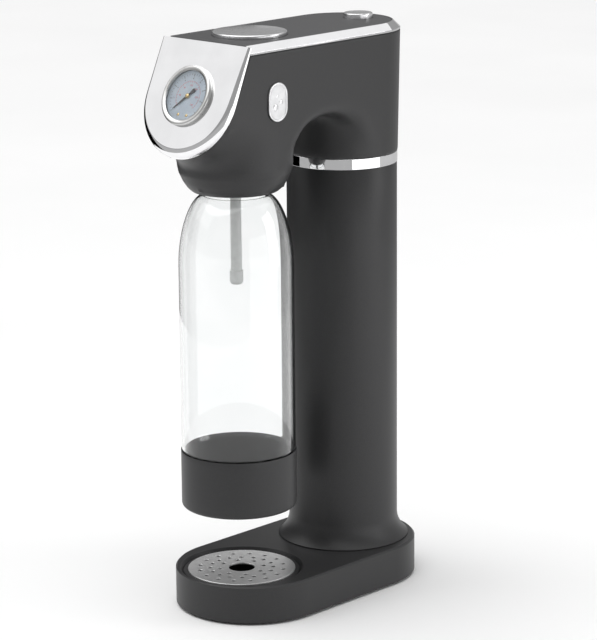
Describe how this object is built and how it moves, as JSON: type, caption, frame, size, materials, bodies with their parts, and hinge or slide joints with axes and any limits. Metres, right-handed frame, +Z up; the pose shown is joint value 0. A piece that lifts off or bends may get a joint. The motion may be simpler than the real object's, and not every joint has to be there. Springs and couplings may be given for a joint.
{
  "type": "soda carbonator",
  "caption": "Countertop soda carbonator: round gas column, arched head with gauge and push buttons, and a clear bottle hung over a drip tray.",
  "frame": {"origin": "middle of the footprint box, on the table", "axes": "+Z up, -Y towards the user, +X to the right when seen from the front"},
  "size_m": [0.1144, 0.2306, 0.43],
  "materials": {
    "dark_shell": "soft-touch matt anthracite",
    "dark_panel": "matt anthracite",
    "black_plastic": "moulded, fine grain",
    "rubber": "matt",
    "silicone": "translucent grey",
    "screw_steel": "plain",
    "grate_steel": "brushed",
    "chrome": "polished",
    "mask_chrome": "polished",
    "badge_metal": "satin",
    "button_satin": "spun satin",
    "bezel_silver": "satin",
    "cylinder_paint": "grey-blue enamel",
    "brass": "machined",
    "copper": "drawn tube",
    "cast_alloy": "die cast",
    "dial_face": "printed white",
    "needle_black": "satin black",
    "clear_glass": "clear",
    "clear_bottle": "clear PET",
    "nozzle_plastic": "light grey"
  },
  "bodies": {
    "housing": {"base_shell": "dark_shell", "bottom_plate": "black_plastic", "rubber_feet": "rubber", "base_screws": "screw_steel", "column_screws": "screw_steel", "column_tube": "dark_shell", "column_ring": "chrome", "cylinder_seat": "cast_alloy", "seat_gasket": "rubber", "lever_pivot_pin": "screw_steel", "chassis": "cast_alloy", "chassis_screws": "screw_steel", "manifold_block": "brass", "relief_valve": "cast_alloy", "release_valve": "brass", "gas_pipe": "copper", "nozzle_pipe": "copper", "gauge_pipe": "copper", "head_shell": "dark_shell", "head_screws": "screw_steel", "top_panel": "dark_panel", "top_trim": "chrome", "front_mask": "mask_chrome", "side_badge": "badge_metal", "button_spring": "screw_steel", "release_spring": "screw_steel", "gauge_case": "cast_alloy", "gauge_dial": "dial_face", "gauge_glass": "clear_glass", "gauge_bezel": "bezel_silver", "bottle_socket": "black_plastic", "socket_screws": "screw_steel", "bottle_seal": "silicone", "nozzle_tube": "nozzle_plastic", "nozzle_tip": "nozzle_plastic"},
    "bottle": {"bottle": "clear_bottle", "bottle_base_cup": "dark_shell"},
    "drip_tray": {"drip_tray": "black_plastic"},
    "drip_grate": {"drip_grate": "grate_steel"},
    "gas_cylinder": {"gas_cylinder": "cylinder_paint", "cylinder_valve": "brass"},
    "valve_pin": {"valve_pin": "screw_steel"},
    "cylinder_hatch": {"cylinder_hatch": "black_plastic"},
    "carbonation_button": {"carbonation_button": "button_satin"},
    "release_button": {"release_button": "button_satin"},
    "valve_lever": {"valve_lever": "screw_steel"},
    "seat_plunger": {"seat_plunger": "screw_steel"},
    "gauge_needle": {"gauge_needle": "needle_black"}
  },
  "joints": [
    {"name": "bottle_drop", "type": "slide", "parent": "housing", "child": "bottle", "axis": [0, 0, -1], "range_m": [0, 0.022]},
    {"name": "tray_lift", "type": "slide", "parent": "housing", "child": "drip_tray", "axis": [0, 0, 1], "range_m": [0, 0.012]},
    {"name": "grate_lift", "type": "slide", "parent": "drip_tray", "child": "drip_grate", "axis": [0, 0, 1], "range_m": [0, 0.006]},
    {"name": "cylinder_unscrew", "type": "hinge", "parent": "housing", "child": "gas_cylinder", "pos_m": [0, 0.06161, 0.35], "axis": [0, 0, -1], "range_deg": [0, 720]},
    {"name": "valve_pin_push", "type": "slide", "parent": "gas_cylinder", "child": "valve_pin", "axis": [0, 0, -1], "range_m": [0, 0.0012]},
    {"name": "hatch_turn", "type": "hinge", "parent": "housing", "child": "cylinder_hatch", "pos_m": [0, 0.06161, 0.003], "axis": [0, 0, 1], "range_deg": [0, 60]},
    {"name": "carbonation_press", "type": "slide", "parent": "housing", "child": "carbonation_button", "axis": [0, 0, -1], "range_m": [0, 0.005], "stiffness_N_per_m": 900, "springref_m": -0.002, "deforming": ["button_spring"]},
    {"name": "release_press", "type": "slide", "parent": "housing", "child": "release_button", "axis": [0, 0, -1], "range_m": [0, 0.003], "stiffness_N_per_m": 600, "springref_m": -0.002, "deforming": ["release_spring"]},
    {"name": "lever_swing", "type": "hinge", "parent": "housing", "child": "valve_lever", "pos_m": [0, 0.08761, 0.40115], "axis": [1, 0, 0], "range_deg": [0, 2.6]},
    {"name": "plunger_push", "type": "slide", "parent": "housing", "child": "seat_plunger", "axis": [0, 0, -1], "range_m": [0, 0.0012]},
    {"name": "needle_swing", "type": "hinge", "parent": "housing", "child": "gauge_needle", "pos_m": [0, -0.09778, 0.38931], "axis": [0, 0.8949, -0.4462], "range_deg": [0, 270], "stiffness_Nm_per_rad": 0.0004}
  ],
  "couplings": [
    {"joint": "lever_swing", "follows": "carbonation_press", "rad_per_m": 8.1433},
    {"joint": "plunger_push", "follows": "carbonation_press", "ratio": 0.2117},
    {"joint": "valve_pin_push", "follows": "carbonation_press", "ratio": 0.2117}
  ]
}
